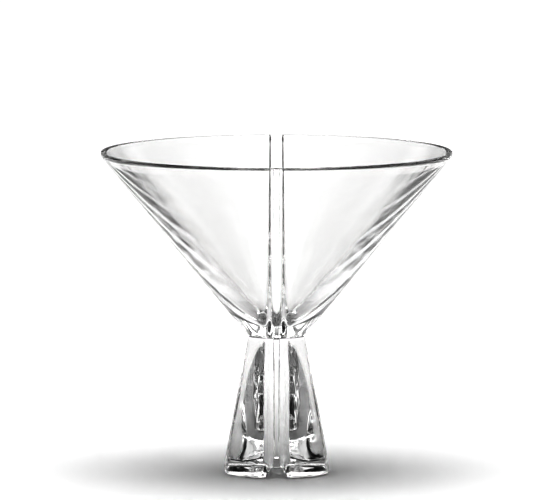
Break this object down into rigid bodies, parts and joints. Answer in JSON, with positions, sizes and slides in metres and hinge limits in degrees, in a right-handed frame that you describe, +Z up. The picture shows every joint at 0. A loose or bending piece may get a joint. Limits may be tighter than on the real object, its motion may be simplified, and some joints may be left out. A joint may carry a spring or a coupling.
{
  "type": "martini glass",
  "caption": "Clear glass martini glass: straight conical bowl fused to a short solid flared stem, with straight grooves from rim to foot that cross under the lobed foot.",
  "frame": {"origin": "middle of the foot, on the plane the glass stands on", "axes": "+Z up the axis of the glass; a groove faces each of +X, -X, +Y and -Y, and -Y faces the viewer"},
  "size_m": [0.1202, 0.1202, 0.1106],
  "materials": {
    "bowl_glass": "clear fire-polished",
    "stem_glass": "clear fire-polished"
  },
  "bodies": {
    "root": {"bowl": "bowl_glass", "stem": "stem_glass"}
  },
  "joints": []
}
